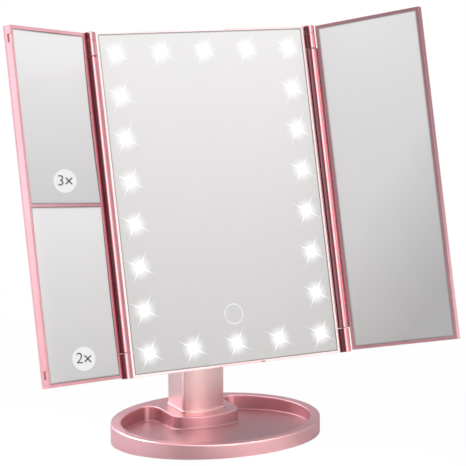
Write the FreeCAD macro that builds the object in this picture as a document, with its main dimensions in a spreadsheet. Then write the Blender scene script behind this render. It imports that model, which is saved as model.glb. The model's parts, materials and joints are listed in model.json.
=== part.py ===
"""Lighted folding makeup mirror: oval tray base, column, tilting lit panel and two folding wings.

Millimetres, +Z up, +Y to the back. The origin is the middle of the underside of the base.
"""
import FreeCAD, Part
import Sketcher

import math
import os
import re

# Driving dimensions

SIZES = {
    # base
    "base_half_length": 77.9,
    "base_half_width": 58.8,
    "rim_mid_height": 13.3,
    "rim_slope": 0.057,
    "rim_width": 7.5,
    "rim_edge_radius": 0.9,
    "tray_bottom": 0.4,
    "tray_wall": 2.2,
    "tray_floor_height": 4.9,
    "tray_floor_radius": 0.8,
    "foot_pad_thickness": 0.8,
    "foot_pad_margin": 6.0,
    "base_plate_thickness": 1.2,
    "base_plate_gap": 0.3,
    "base_screw_radius": 1.25,
    "base_screw_head_radius": 2.6,
    "base_screw_head_height": 0.7,
    "base_screw_length": 2.0,
    "base_screw_end_inset": 31.9,
    "base_screw_side_inset": 34.8,
    "screw_clearance": 0.05,
    # platform under the column
    "platform_side_ledge": 9.0,
    "platform_front_ledge": 8.6,
    "platform_bow": 8.0,
    "platform_corner_radius": 9.0,
    "platform_root_radius": 8.0,
    "platform_roof": 2.6,
    "platform_wall": 4.0,
    # column
    "column_width": 33.4,
    "column_front": 15.1,
    "column_back": 14.0,
    "column_bow": 4.0,
    "column_setback": 30.5,
    "column_edge_radius": 3.0,
    "column_wall": 2.6,
    "column_crown": 8.0,
    "column_top_gap": 0.4,
    "column_seat_height": 10.0,
    "column_foot_rise": 1.6,
    "column_foot_flare": 1.0,
    "column_foot_edge": 0.6,
    "column_foot_gap": 0.15,
    "column_screw_radius": 1.5,
    "column_screw_head_radius": 2.8,
    "column_screw_head_height": 1.8,
    "column_screw_grip": 10.0,
    "column_boss_radius": 3.8,
    "column_boss_height": 14.0,
    "column_boss_lap": 0.3,
    # tilting joint
    "pivot_height": 163.3,
    "tilt_angle": 13.54,
    "tilt_gap": 0.8,
    "pivot_radius": 4.0,
    "pivot_washer_band": 5.0,
    "pivot_washer_thickness": 1.0,
    "pivot_running_gap": 0.3,
    "pivot_shaft_clearance": 0.05,
    "pivot_cap_lap": 3.0,
    "pivot_cap_thickness": 2.0,
    "bracket_ear_thickness": 4.5,
    "bracket_ear_wall": 6.5,
    "bracket_ear_step": 4.0,
    "bracket_plate_thickness": 3.0,
    "bracket_margin": 5.0,
    "bracket_screw_radius": 1.5,
    "bracket_screw_head_radius": 2.8,
    "bracket_screw_head_height": 1.8,
    "bracket_screw_gap": 1.6,
    "bracket_screw_half_rise": 14.0,
    # centre panel
    "frame_half_width": 81.7,
    "frame_half_height": 117.2,
    "frame_floor": 1.6,
    "frame_wall": 1.8,
    "glass_side_rim": 2.2,
    "glass_end_rim": 1.8,
    "glass_thickness": 3.0,
    "glass_sink": 0.2,
    "glass_clearance": 0.15,
    "notch_half_width": 20.5,
    "notch_height": 0.9,
    "notch_depth": 3.2,
    "cover_depth": 7.0,
    "cover_wall": 1.8,
    "cover_edge_radius": 2.6,
    "cover_boss_radius": 3.0,
    "cover_boss_inset": 5.6,
    "cover_screw_radius": 1.2,
    "cover_screw_head_radius": 2.2,
    "cover_screw_head_height": 1.2,
    "cover_screw_length": 8.0,
    # lamps and electronics
    "lamp_side_inset": 14.3,
    "lamp_end_inset": 15.1,
    "lamp_window_margin": 1.25,
    "lamp_width": 3.5,
    "lamp_height": 2.8,
    "lamp_thickness": 1.4,
    "lamp_board_half_band": 4.6,
    "lamp_board_thickness": 1.2,
    "touch_rise": 35.4,
    "touch_pad_radius": 7.0,
    "touch_pad_thickness": 1.6,
    "touch_stem_radius": 2.5,
    "board_thickness": 1.6,
    "board_half_width": 34.0,
    "board_half_height": 14.0,
    "board_shift": 18.0,
    "board_post_radius": 2.5,
    "board_post_length": 5.0,
    "board_post_inset": 4.0,
    "socket_width": 8.0,
    "socket_height": 3.2,
    "socket_wall": 0.5,
    "socket_end_inset": 12.0,
    "socket_clearance": 0.3,
    # battery box
    "cell_radius": 5.25,
    "cell_length": 44.5,
    "cell_nub_radius": 1.9,
    "cell_nub_length": 0.9,
    "cell_gap": 0.4,
    "cell_clearance": 0.4,
    "box_wall": 1.6,
    "box_gap": 1.3,
    "contact_thickness": 0.4,
    "contact_inset": 1.05,
    "contact_spring_radius": 3.0,
    "contact_spring_length": 3.6,
    "door_gap": 4.75,
    "door_thickness": 2.0,
    "door_lap": 4.0,
    "door_tongue": 1.6,
    "door_tongue_thickness": 1.0,
    "door_clearance": 0.3,
    "door_rail_width": 2.4,
    "door_grip_half_width": 9.0,
    "door_grip_height": 1.2,
    "door_grip_pitch": 3.0,
    "door_grip_depth": 0.7,
    # wing hinges
    "hinge_side_gap": 0.5,
    "hinge_lead": 0.3,
    "hinge_barrel_radius": 3.8,
    "hinge_web_thickness": 3.2,
    "hinge_pin_radius": 1.5,
    "hinge_pin_clearance": 0.05,
    "hinge_pin_reach": 12.0,
    "hinge_knuckle_top": 16.4,
    "hinge_knuckle_bottom": 16.8,
    "hinge_cap_height": 5.8,
    "hinge_cap_groove": 0.3,
    "hinge_cap_edge": 1.2,
    "hinge_gap": 0.4,
    # wings
    "wing_hinge_gap": 1.14,
    "wing_meeting_gap": 1.25,
    "wing_end_gap": 0.9,
    "wing_floor": 1.2,
    "wing_back_thickness": 1.6,
    "wing_back_edge": 1.0,
    "wing_rim": 2.2,
    "wing_glass_thickness": 2.8,
    "wing_pad_thickness": 0.4,
    "wing_pad_inset": 6.0,
    "wing_bar_half_width": 1.0,
    "wing_notch_half_length": 2.7,
    "wing_notch_depth": 1.0,
    "wing_notch_inset": 8.3,
    "wing_notch_thickness": 3.0,
    "upper_mirror_curve": 1700.0,
    "lower_mirror_curve": 2600.0,
    "left_wing_angle": 29.7,
    "right_wing_angle": 55.6,
}

# Sizes that follow from the driving ones

RELATIONS = {
    # stand
    "platform_half_width": "column_width / 2 + column_foot_flare + platform_side_ledge",
    "platform_front": "column_setback - column_front - column_foot_flare - platform_front_ledge",
    "platform_back": "base_half_width - rim_width",
    "base_screw_half_span": "base_half_length - base_screw_end_inset",
    "base_screw_half_reach": "base_half_width - base_screw_side_inset",
    "column_top_radius": "column_front + column_top_gap",
    # tilting joint
    "pivot_washer_radius": "pivot_radius + pivot_washer_band",
    "pivot_cap_radius": "pivot_radius + pivot_cap_lap",
    "ear_inner": "column_width / 2 + pivot_washer_thickness + pivot_running_gap",
    "ear_outer": "ear_inner + bracket_ear_thickness",
    "bracket_ear_radius": "pivot_radius + bracket_ear_wall",
    "bracket_screw_half_span": "ear_outer + bracket_screw_head_radius + bracket_screw_gap",
    "bracket_half_width": "bracket_screw_half_span + bracket_margin",
    "bracket_half_height": "bracket_screw_half_rise + bracket_margin",
    "bracket_ear_half_root": "bracket_half_height - bracket_ear_step",
    # centre panel, from its back to its front; distances are ahead of the pivot axis
    "cover_back": "column_top_radius + tilt_gap + bracket_plate_thickness",
    "cover_inside": "cover_back + cover_wall",
    "joint_plane": "cover_back + cover_depth",
    "cell_depth": "cover_back + cell_clearance + cell_radius",
    "box_front": "cell_depth + cell_radius + cell_clearance",
    "floor_back": "box_front + box_wall + box_gap",
    "floor_front": "floor_back + frame_floor",
    "frame_front": "floor_front + glass_thickness + glass_sink",
    "frame_depth": "frame_front - joint_plane",
    "glass_half_width": "frame_half_width - glass_side_rim",
    "glass_half_height": "frame_half_height - glass_end_rim",
    "lamp_half_width": "frame_half_width - lamp_side_inset",
    "lamp_half_height": "frame_half_height - lamp_end_inset",
    "lamp_window_radius": "lamp_width / 2 + lamp_window_margin",
    "touch_drop": "frame_half_height - touch_rise",
    "socket_shift": "board_shift + board_half_width - socket_end_inset",
    # battery box
    "cell_pitch": "2 * cell_radius + cell_gap",
    "contact_half_width": "cell_radius - contact_inset",
    "box_low": "bracket_half_height + door_lap + door_gap",
    "cell_middle": "box_low + contact_thickness + contact_spring_length + cell_length / 2",
    "box_high": "cell_middle + cell_length / 2 + cell_nub_length + contact_thickness",
    "door_low": "box_low - door_lap",
    "door_high": "box_high + door_lap",
    # wings
    "hinge_half_span": "frame_half_width + hinge_barrel_radius + hinge_side_gap",
    "hinge_front": "frame_front + hinge_lead",
    "wing_inner": "hinge_barrel_radius + wing_hinge_gap",
    "wing_outer": "hinge_half_span - wing_meeting_gap",
    "wing_half_height": "frame_half_height - wing_end_gap",
    "wing_recess": "wing_glass_thickness + wing_pad_thickness + glass_sink",
    "wing_frame_depth": "wing_recess + wing_floor",
    "wing_notch_offset": "wing_half_height - wing_notch_inset",
}

LAMP_COLUMNS = 5
LAMP_ROWS = 8
CELL_COUNT = 4
GRIP_RIBS = 5
COVER_SCREW_ROWS = 4
PLANES = {"XY": "XY_Plane", "XZ": "XZ_Plane", "YZ": "YZ_Plane"}
TOLERANCE = 1e-4
NEAR = 0.01

V = FreeCAD.Vector
doc = FreeCAD.newDocument("folding_mirror")
sheet = doc.addObject("Spreadsheet::Sheet", "dims")
for row, (alias, value) in enumerate(SIZES.items(), start=1):
    sheet.set("A%d" % row, alias)
    sheet.set("B%d" % row, str(value))
    sheet.setAlias("B%d" % row, alias)
worked = doc.addObject("App::VarSet", "worked")
gauge = doc.addObject("App::VarSet", "gauge")
sub_parts = []


# Helpers

def formula(text):
    """An expression of the document from words that name sizes, driving or worked out."""
    def owner(word):
        return ("worked." if word.group(0) in RELATIONS else "dims.") + word.group(0)
    return re.sub(r"\b[a-z]+(?:_[a-z]+)+\b", owner, str(text))


def bind(thing, prop, text):
    thing.setExpression(prop, formula(text))


def size(text):
    """The present value of a size or of a formula of sizes."""
    bind(gauge, "reading", text)
    gauge.recompute()
    return gauge.reading


gauge.addProperty("App::PropertyFloat", "reading")
for relation, rule in RELATIONS.items():
    worked.addProperty("App::PropertyFloat", relation)
    bind(worked, relation, rule)
doc.recompute()


def finished(thing, label, placement=FreeCAD.Placement()):
    """Names a sub-part, puts it in its place and keeps it for writing."""
    thing.Label = label
    thing.Placement = placement
    sub_parts.append(thing)
    return thing


def new_body(name):
    return doc.addObject("PartDesign::Body", name + "_body")


def new_sketch(body, plane, offset):
    """A sketch on an origin plane: offset is a height on XY, a distance to the front on XZ, and x on YZ."""
    sketch = body.newObject("Sketcher::SketchObject", "profile")
    support = [f for f in body.Origin.OriginFeatures if f.Role == PLANES[plane]][0]
    sketch.AttachmentSupport = [(support, "")]
    sketch.MapMode = "FlatFace"
    bind(sketch, "AttachmentOffset.Base.z", offset)
    return sketch


def limit(sketch, text, kind, *places):
    """Ties one distance or radius of a sketch to a formula."""
    index = sketch.addConstraint(Sketcher.Constraint(kind, *places, size(text)))
    bind(sketch, "Constraints[%d]" % index, text)


def fix_point(sketch, geometry, position, across, along):
    """Ties one point of a sketch to two formulas."""
    limit(sketch, across, "DistanceX", geometry, position)
    limit(sketch, along, "DistanceY", geometry, position)


def outline(*points):
    """A closed outline of straight sides through points given as pairs of formulas."""
    def draw(sketch):
        first = sketch.GeometryCount
        count = len(points)
        places = [V(size(across), size(along), 0) for across, along in points]
        for i in range(count):
            sketch.addGeometry(Part.LineSegment(places[i], places[(i + 1) % count]))
        for i in range(count):
            after = first + (i + 1) % count
            sketch.addConstraint(Sketcher.Constraint("Coincident", first + i, 2, after, 1))
        for i, (across, along) in enumerate(points):
            fix_point(sketch, first + i, 1, across, along)
    return draw


def rectangle(left, right, low, high):
    return outline((left, low), (right, low), (right, high), (left, high))


def box_about(half_across, half_along):
    """A rectangle about the origin of its sketch."""
    return rectangle("-(%s)" % half_across, half_across, "-(%s)" % half_along, half_along)


def circle(across, along, radius):
    def draw(sketch):
        centre = V(size(across), size(along), 0)
        index = sketch.addGeometry(Part.Circle(centre, V(0, 0, 1), size(radius)))
        fix_point(sketch, index, 3, across, along)
        limit(sketch, radius, "Radius", index)
    return draw


def ellipse(half_length, half_width):
    """An ellipse about the origin of its sketch."""
    def draw(sketch):
        index = sketch.addGeometry(Part.Ellipse(V(0, 0, 0), size(half_length), size(half_width)))
        sketch.exposeInternalGeometry(index)
        fix_point(sketch, index, 3, "0", "0")
        sketch.addConstraint(Sketcher.Constraint("Horizontal", index + 1))
        limit(sketch, "2 * (%s)" % half_length, "Distance", index + 1)
        limit(sketch, "2 * (%s)" % half_width, "Distance", index + 2)
    return draw


def bowed(half_width, back, front, bow):
    """A plan with a straight back and sides; its front swells by the bow to its foremost point."""
    corner = "(%s) + (%s)" % (front, bow)
    radius = "((%s)^2 + (%s)^2) / (2 * (%s))" % (half_width, bow, bow)

    def draw(sketch):
        wide, rear, fore, sweep = size(half_width), size(back), size(corner), size(radius)
        centre = V(0, size(front) + sweep, 0)
        rear_line = sketch.addGeometry(Part.LineSegment(V(-wide, rear, 0), V(wide, rear, 0)))
        right_line = sketch.addGeometry(Part.LineSegment(V(wide, rear, 0), V(wide, fore, 0)))
        left_line = sketch.addGeometry(Part.LineSegment(V(-wide, fore, 0), V(-wide, rear, 0)))
        start = math.atan2(fore - centre.y, -wide)
        end = math.atan2(fore - centre.y, wide)
        arc = sketch.addGeometry(Part.ArcOfCircle(Part.Circle(centre, V(0, 0, 1), sweep), start, end))
        for first, first_end, second, second_end in ((rear_line, 2, right_line, 1), (right_line, 2, arc, 2),
                                                     (arc, 1, left_line, 1), (left_line, 2, rear_line, 1)):
            sketch.addConstraint(Sketcher.Constraint("Coincident", first, first_end, second, second_end))
        fix_point(sketch, rear_line, 1, "-(%s)" % half_width, back)
        fix_point(sketch, rear_line, 2, half_width, back)
        fix_point(sketch, right_line, 2, half_width, corner)
        fix_point(sketch, left_line, 1, "-(%s)" % half_width, corner)
        limit(sketch, radius, "Radius", arc)
    return draw


def arch(middle, low, springing, radius):
    """An upright outline with a level foot, straight sides and a half-round top."""
    left = "(%s) - (%s)" % (middle, radius)
    right = "(%s) + (%s)" % (middle, radius)

    def draw(sketch):
        foot, spring, reach = size(low), size(springing), size(radius)
        near_x, far_x = size(left), size(right)
        foot_line = sketch.addGeometry(Part.LineSegment(V(near_x, foot, 0), V(far_x, foot, 0)))
        far_line = sketch.addGeometry(Part.LineSegment(V(far_x, foot, 0), V(far_x, spring, 0)))
        near_line = sketch.addGeometry(Part.LineSegment(V(near_x, spring, 0), V(near_x, foot, 0)))
        ring = Part.Circle(V(size(middle), spring, 0), V(0, 0, 1), reach)
        arc = sketch.addGeometry(Part.ArcOfCircle(ring, 0, math.pi))
        for first, first_end, second, second_end in ((foot_line, 2, far_line, 1), (far_line, 2, arc, 1),
                                                     (arc, 2, near_line, 1), (near_line, 2, foot_line, 1)):
            sketch.addConstraint(Sketcher.Constraint("Coincident", first, first_end, second, second_end))
        fix_point(sketch, foot_line, 1, left, low)
        fix_point(sketch, foot_line, 2, right, low)
        fix_point(sketch, arc, 3, middle, springing)
        limit(sketch, right, "DistanceX", far_line, 2)
        limit(sketch, springing, "DistanceY", far_line, 2)
        limit(sketch, springing, "DistanceY", near_line, 1)
    return draw


def settle(feature):
    """Recomputes and stops at once if the new feature failed."""
    doc.recompute()
    if "Invalid" in feature.State or "Error" in feature.State:
        raise RuntimeError("%s failed: %s" % (feature.Name, feature.State))


def profile(body, plane, offset, shapes):
    sketch = new_sketch(body, plane, offset)
    for draw in shapes:
        draw(sketch)
    return sketch


def add(body, plane, offset, thickness, *shapes):
    """Adds material from the offset plane: upwards on XY, to the back on XZ, towards +X on YZ."""
    feature = body.newObject("PartDesign::Pad", "pad")
    feature.Profile = profile(body, plane, offset, shapes)
    bind(feature, "Length", thickness)
    feature.Reversed = plane == "XZ"
    settle(feature)


def cut(body, plane, offset, thickness, *shapes):
    """Takes material away from the offset plane, the same way round as add."""
    before = body.Shape.Volume
    feature = body.newObject("PartDesign::Pocket", "pocket")
    feature.Profile = profile(body, plane, offset, shapes)
    bind(feature, "Length", thickness)
    feature.Reversed = plane != "XZ"
    settle(feature)
    if body.Shape.Volume > before - TOLERANCE:
        raise RuntimeError("a pocket of %s took nothing away" % body.Name)


def round_edges(body, radius, chosen):
    """Rounds the edges of the body so far that the test chooses."""
    names = ["Edge%d" % (i + 1) for i, edge in enumerate(body.Shape.Edges) if chosen(edge)]
    last = body.Tip
    feature = body.newObject("PartDesign::Fillet", "fillet")
    feature.Base = (last, names)
    bind(feature, "Radius", radius)
    settle(feature)


def near(first, second):
    return abs(first - second) < NEAR


def runs_along(edge, axis):
    """Whether a straight edge runs along one axis, 0 for x, 1 for y and 2 for z."""
    ends = [vertex.Point for vertex in edge.Vertexes]
    if len(ends) < 2:
        return False
    return all(near(ends[0][i], ends[1][i]) for i in range(3) if i != axis)


def upright_at(*places):
    """A test for upright edges that stand at one of these places in plan."""
    def chosen(edge):
        if not runs_along(edge, 2):
            return False
        point = edge.Vertexes[0].Point
        return any(near(point.x, x) and near(point.y, y) for x, y in places)
    return chosen


def mirrored_places(x, y):
    return ((x, y), (-x, y))


def rod(name, radius, length, across, along, start, direction="up"):
    """A cylinder that runs up, back or across from its starting plane."""
    turns = {"up": (V(0, 0, 1), 0), "back": (V(1, 0, 0), -90), "across": (V(0, 1, 0), 90)}
    thing = doc.addObject("Part::Cylinder", name)
    bind(thing, "Radius", radius)
    bind(thing, "Height", length)
    thing.Placement = FreeCAD.Placement(V(), FreeCAD.Rotation(*turns[direction]))
    places = {"up": (across, along, start), "back": (across, start, along), "across": (start, across, along)}
    for axis, text in zip("xyz", places[direction]):
        bind(thing, "Placement.Base." + axis, text)
    return thing


def block(name, x_span, y_span, z_span):
    """A box between pairs of formulas."""
    thing = doc.addObject("Part::Box", name)
    for side, axis, (low, high) in zip(("Length", "Width", "Height"), "xyz", (x_span, y_span, z_span)):
        bind(thing, side, "(%s) - (%s)" % (high, low))
        bind(thing, "Placement.Base." + axis, low)
    return thing


def fused(name, pieces):
    thing = doc.addObject("Part::MultiFuse", name)
    thing.Shapes = pieces
    thing.Refine = True
    return thing


def grouped(name, pieces):
    """Separate solids that share one node."""
    thing = doc.addObject("Part::Compound", name)
    thing.Links = pieces
    return thing


def screw(name, head_radius, head_height, radius, length, across, along, start, direction):
    """A pan-headed screw whose head begins at the starting plane; the shank follows it."""
    head = rod(name + "_head", head_radius, head_height, across, along, start, direction)
    shank = rod(name + "_shank", radius, length, across, along, "(%s) + %s" % (start, head_height), direction)
    return fused(name, [head, shank])


# Places shared by several pieces

HEAD_PLACE = FreeCAD.Placement(
    V(0, size("column_setback"), size("pivot_height")),
    FreeCAD.Rotation(V(1, 0, 0), -size("tilt_angle")))


def wing_place(side):
    """A wing's own frame: its origin is on the hinge axis, half way up."""
    angle = size("right_wing_angle") if side > 0 else -size("left_wing_angle")
    hinge = V(side * size("hinge_half_span"), -size("hinge_front"), 0)
    turn = FreeCAD.Rotation(V(0, 0, 1), -angle)
    return HEAD_PLACE.multiply(FreeCAD.Placement(hinge, turn))


BASE_PLATE_TOP = "(foot_pad_thickness + base_plate_thickness)"
RIM_TOP = "(rim_mid_height + rim_slope * base_half_width + column_foot_rise + rim_edge_radius)"
CORNERS = [(i, j) for i in (-1, 1) for j in (-1, 1)]
BASE_SCREW_PLACES = [("%d * base_screw_half_span" % i, "%d * base_screw_half_reach" % j) for i, j in CORNERS]
COLUMN_BOSS_INSET = "(column_wall + column_boss_radius - column_boss_lap)"
COLUMN_SCREW_PLACES = [("%d * (column_width / 2 - %s)" % (i, COLUMN_BOSS_INSET), y) for i in (-1, 1)
                       for y in ("column_setback + column_back - " + COLUMN_BOSS_INSET,
                                 "column_setback - column_front + column_bow + " + COLUMN_BOSS_INSET)]
LAMP_PLACES = [("%.3f * lamp_half_width" % (2 * i / (LAMP_COLUMNS - 1) - 1),
                "%.6f * lamp_half_height" % (2 * j / (LAMP_ROWS - 1) - 1))
               for i in range(LAMP_COLUMNS) for j in range(LAMP_ROWS)
               if i in (0, LAMP_COLUMNS - 1) or j in (0, LAMP_ROWS - 1)]
COVER_SCREW_PLACES = [("%d * (frame_half_width - cover_boss_inset)" % i,
                       "%.6f * (frame_half_height - cover_boss_inset)" % (2 * j / (COVER_SCREW_ROWS - 1) - 1))
                      for i in (-1, 1) for j in range(COVER_SCREW_ROWS)]
BRACKET_SCREW_PLACES = [("%d * bracket_screw_half_span" % i, "%d * bracket_screw_half_rise" % j)
                        for i, j in CORNERS]
CELL_PLACES = ["%.1f * cell_pitch" % (i - (CELL_COUNT - 1) / 2) for i in range(CELL_COUNT)]
BOX_HALF_WIDTH = "(%d / 2 * cell_pitch + cell_clearance)" % CELL_COUNT
DOOR_HALF_WIDTH = "(%s + door_lap)" % BOX_HALF_WIDTH
KNUCKLE_TOP_LOW = "(frame_half_height - hinge_knuckle_top)"
KNUCKLE_TOP_HIGH = "(frame_half_height - hinge_cap_height - hinge_cap_groove)"
KNUCKLE_BOTTOM_HIGH = "(hinge_knuckle_bottom - frame_half_height)"
BARREL_LOW = "(%s + hinge_gap)" % KNUCKLE_BOTTOM_HIGH
BARREL_HIGH = "(%s - hinge_gap)" % KNUCKLE_TOP_LOW


def column_plan(margin):
    """The column's plan, grown by a margin."""
    return bowed("column_width / 2 + (%s)" % margin, "column_setback + column_back + (%s)" % margin,
                 "column_setback - column_front - (%s)" % margin, "column_bow")


def column_corners(margin):
    """Places of the four corners of that plan."""
    across = size("column_width / 2 + (%s)" % margin)
    rear = size("column_setback + column_back + (%s)" % margin)
    fore = size("column_setback - column_front + column_bow - (%s)" % margin)
    return mirrored_places(across, rear) + mirrored_places(across, fore)


def trim_to_rim(body, rise):
    """Takes away what stands above the sloping plane of the rim, raised by a formula."""
    reach = "(base_half_width + rim_width)"
    cut(body, "YZ", "-base_half_length - rim_width", "2 * (base_half_length + rim_width)",
        outline(("-" + reach, "rim_mid_height - rim_slope * %s + (%s)" % (reach, rise)),
                (reach, "rim_mid_height + rim_slope * %s + (%s)" % (reach, rise)),
                (reach, RIM_TOP + " + rim_width"),
                ("-" + reach, RIM_TOP + " + rim_width")))


def on_rim_plane(rise):
    """A test for edges that lie in that plane."""
    middle = size("rim_mid_height + (%s)" % rise)
    slope = size("rim_slope")

    def chosen(edge):
        points = [v.Point for v in edge.Vertexes] + [edge.CenterOfMass]
        return all(near(p.z, middle + slope * p.y) for p in points)
    return chosen


def outward(side, inner, outer):
    """Left and right limits of a stretch measured out to one side."""
    limits = ("%d * (%s)" % (side, inner), "%d * (%s)" % (side, outer))
    return limits if side > 0 else limits[::-1]


# Stand

def make_base_tray():
    """Oval tray: sloping rim, sunk floor, and a bowed platform that grows out of the rear rim."""
    body = new_body("base_tray")
    add(body, "XY", "tray_bottom", RIM_TOP + " - tray_bottom", ellipse("base_half_length", "base_half_width"))
    cut(body, "XY", "tray_floor_height", RIM_TOP,
        ellipse("base_half_length - rim_width", "base_half_width - rim_width"))
    add(body, "XY", "tray_floor_height", RIM_TOP + " - tray_floor_height",
        bowed("platform_half_width", "platform_back", "platform_front", "platform_bow"))
    trim_to_rim(body, "0")
    half = size("platform_half_width")
    root = size("platform_back") * (1 - (half / size("base_half_length - rim_width")) ** 2) ** 0.5
    corner = size("platform_front + platform_bow")
    round_edges(body, "platform_corner_radius", upright_at(*mirrored_places(half, corner)))
    round_edges(body, "platform_root_radius", upright_at(*mirrored_places(half, root)))
    round_edges(body, "rim_edge_radius", on_rim_plane("0"))
    floor = size("tray_floor_height")

    def on_floor(edge):
        return near(edge.CenterOfMass.z, floor) and all(near(v.Z, floor) for v in edge.Vertexes)

    round_edges(body, "tray_floor_radius", on_floor)
    margin = "column_foot_flare + column_foot_gap"
    cut(body, "XY", "column_seat_height", RIM_TOP, column_plan(margin))
    round_edges(body, "column_edge_radius + column_foot_flare", upright_at(*column_corners(margin)))
    cut(body, "XY", "tray_bottom", BASE_PLATE_TOP + " - tray_bottom",
        ellipse("base_half_length - tray_wall", "base_half_width - tray_wall"))
    cut(body, "XY", BASE_PLATE_TOP, "column_seat_height - platform_roof - " + BASE_PLATE_TOP,
        bowed("platform_half_width - platform_wall", "platform_back", "platform_front + platform_wall",
              "platform_bow"))
    cut(body, "XY", "column_seat_height - platform_roof", "platform_roof",
        *[circle(x, y, "column_screw_radius + screw_clearance") for x, y in COLUMN_SCREW_PLACES])
    cut(body, "XY", BASE_PLATE_TOP, "base_screw_length",
        *[circle(x, y, "base_screw_radius") for x, y in BASE_SCREW_PLACES])
    finished(body, "base_tray")


def make_base_underside():
    """Steel plate, its screws and the anti-slip pad that the object stands on."""
    plate = new_body("base_plate")
    add(plate, "XY", "foot_pad_thickness", "base_plate_thickness",
        ellipse("base_half_length - tray_wall - base_plate_gap",
                "base_half_width - tray_wall - base_plate_gap"))
    cut(plate, "XY", "foot_pad_thickness", "base_screw_head_height",
        *[circle(x, y, "base_screw_head_radius + screw_clearance") for x, y in BASE_SCREW_PLACES])
    cut(plate, "XY", "foot_pad_thickness", "base_plate_thickness",
        *[circle(x, y, "base_screw_radius + screw_clearance") for x, y in BASE_SCREW_PLACES])
    finished(plate, "base_plate")
    screws = [screw("base_screw", "base_screw_head_radius", "base_screw_head_height", "base_screw_radius",
                    "base_plate_thickness - base_screw_head_height + base_screw_length",
                    x, y, "foot_pad_thickness", "up") for x, y in BASE_SCREW_PLACES]
    finished(grouped("base_screw_set", screws), "base_screws")
    pad = new_body("foot_pad")
    add(pad, "XY", "0", "foot_pad_thickness",
        ellipse("base_half_length - foot_pad_margin", "base_half_width - foot_pad_margin"))
    finished(pad, "foot_pad")


def make_column():
    """Hollow moulded column: bowed front, low flared foot, and a lug that is round about the pivot."""
    post = new_body("column_post")
    top = "(pivot_height + column_top_radius + column_wall)"
    add(post, "XY", "column_seat_height", top + " - column_seat_height", column_plan("0"))
    round_edges(post, "column_edge_radius", upright_at(*column_corners("0")))
    half_width = "column_width / 2"
    clear = "2 * column_top_radius"
    cut(post, "YZ", "-" + half_width, "column_width",
        rectangle("column_setback - " + clear, "column_setback + " + clear, "0", top + " + column_wall"),
        arch("column_setback", "column_seat_height / 2", "pivot_height", "column_top_radius"))
    hollow = "pivot_height - pivot_radius - column_crown - column_seat_height"
    cut(post, "XY", "column_seat_height", hollow, column_plan("-column_wall"))
    add(post, "XY", "column_seat_height", "column_boss_height",
        *[circle(x, y, "column_boss_radius") for x, y in COLUMN_SCREW_PLACES])
    cut(post, "XY", "column_seat_height", "column_screw_grip",
        *[circle(x, y, "column_screw_radius") for x, y in COLUMN_SCREW_PLACES])
    cut(post, "YZ", "-" + half_width, "column_width",
        circle("column_setback", "pivot_height", "pivot_radius"))
    foot = new_body("column_foot")
    add(foot, "XY", "column_seat_height", RIM_TOP + " - column_seat_height",
        column_plan("column_foot_flare"))
    trim_to_rim(foot, "column_foot_rise")
    round_edges(foot, "column_edge_radius + column_foot_flare",
                upright_at(*column_corners("column_foot_flare")))
    round_edges(foot, "column_foot_edge", on_rim_plane("column_foot_rise"))
    cut(foot, "XY", "column_seat_height", RIM_TOP, column_plan("-column_wall / 2"))
    finished(fused("column_moulding", [post, foot]), "column")
    screws = [screw("column_screw", "column_screw_head_radius", "column_screw_head_height",
                    "column_screw_radius", "platform_roof + column_screw_grip", x, y,
                    "column_seat_height - platform_roof - column_screw_head_height", "up")
              for x, y in COLUMN_SCREW_PLACES]
    finished(grouped("column_screw_set", screws), "column_screws")


def make_pivot():
    """Shaft fixed in the column, with a friction washer on each side of it."""
    shaft = rod("shaft", "pivot_radius", "2 * ear_outer", "column_setback", "pivot_height", "-ear_outer",
                "across")
    finished(shaft, "pivot_shaft", shaft.Placement)
    washers = []
    for side, start in ((-1, "-column_width / 2 - pivot_washer_thickness"), (1, "column_width / 2")):
        disc = rod("washer", "pivot_washer_radius", "pivot_washer_thickness",
                   "column_setback", "pivot_height", start, "across")
        hole = rod("washer_hole", "pivot_radius", "pivot_washer_thickness",
                   "column_setback", "pivot_height", start, "across")
        ring = doc.addObject("Part::Cut", "friction_ring")
        ring.Base = disc
        ring.Tool = hole
        washers.append(ring)
    finished(grouped("washer_set", washers), "friction_washers")


# Centre panel: pieces in its own frame, whose origin is on the pivot axis

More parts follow.
